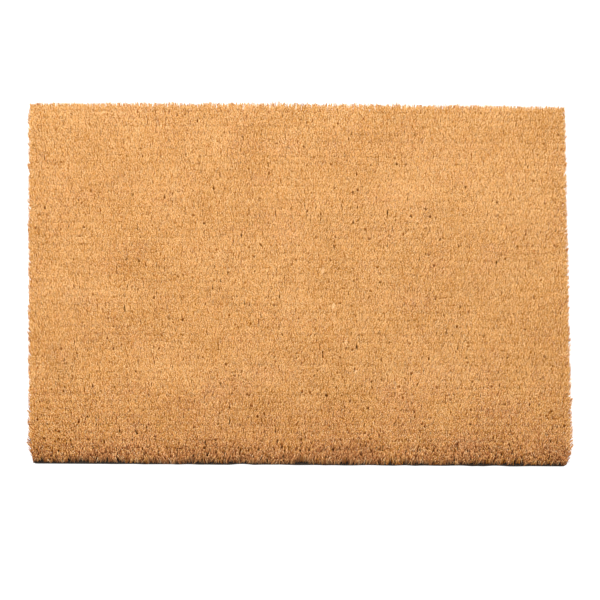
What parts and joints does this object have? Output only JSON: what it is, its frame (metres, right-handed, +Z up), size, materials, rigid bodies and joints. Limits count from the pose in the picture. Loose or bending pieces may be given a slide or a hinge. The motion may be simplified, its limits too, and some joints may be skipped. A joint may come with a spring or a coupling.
{
  "type": "door mat",
  "caption": "Rectangular coir door mat: leaning rows of cut fibre tufts standing in channels of a thin pressed backing sheet.",
  "frame": {"origin": "on the floor, under the middle of the mat's box", "axes": "+X along the long side and the tuft rows, +Y across the rows towards the side that the tufts lean to, +Z up out of the pile"},
  "size_m": [0.6, 0.4074, 0.02],
  "materials": {
    "pvc_backing": "matt black PVC, faint pebble from the casting belt, cut edges",
    "coir_pile": "dry, coarse, golden tan coconut fibre, cut ends up, no print"
  },
  "bodies": {
    "root": {"backing_sheet": "pvc_backing", "tuft_row_01": "coir_pile", "tuft_row_02": "coir_pile", "tuft_row_03": "coir_pile", "tuft_row_04": "coir_pile", "tuft_row_05": "coir_pile", "tuft_row_06": "coir_pile", "tuft_row_07": "coir_pile", "tuft_row_08": "coir_pile", "tuft_row_09": "coir_pile", "tuft_row_10": "coir_pile", "tuft_row_11": "coir_pile", "tuft_row_12": "coir_pile", "tuft_row_13": "coir_pile", "tuft_row_14": "coir_pile", "tuft_row_15": "coir_pile", "tuft_row_16": "coir_pile", "tuft_row_17": "coir_pile", "tuft_row_18": "coir_pile", "tuft_row_19": "coir_pile", "tuft_row_20": "coir_pile", "tuft_row_21": "coir_pile", "tuft_row_22": "coir_pile", "tuft_row_23": "coir_pile", "tuft_row_24": "coir_pile", "tuft_row_25": "coir_pile", "tuft_row_26": "coir_pile", "tuft_row_27": "coir_pile", "tuft_row_28": "coir_pile", "tuft_row_29": "coir_pile", "tuft_row_30": "coir_pile", "tuft_row_31": "coir_pile", "tuft_row_32": "coir_pile", "tuft_row_33": "coir_pile", "tuft_row_34": "coir_pile", "tuft_row_35": "coir_pile", "tuft_row_36": "coir_pile", "tuft_row_37": "coir_pile", "tuft_row_38": "coir_pile", "tuft_row_39": "coir_pile", "tuft_row_40": "coir_pile", "tuft_row_41": "coir_pile", "tuft_row_42": "coir_pile", "tuft_row_43": "coir_pile", "tuft_row_44": "coir_pile", "tuft_row_45": "coir_pile", "tuft_row_46": "coir_pile", "tuft_row_47": "coir_pile"}
  },
  "joints": []
}
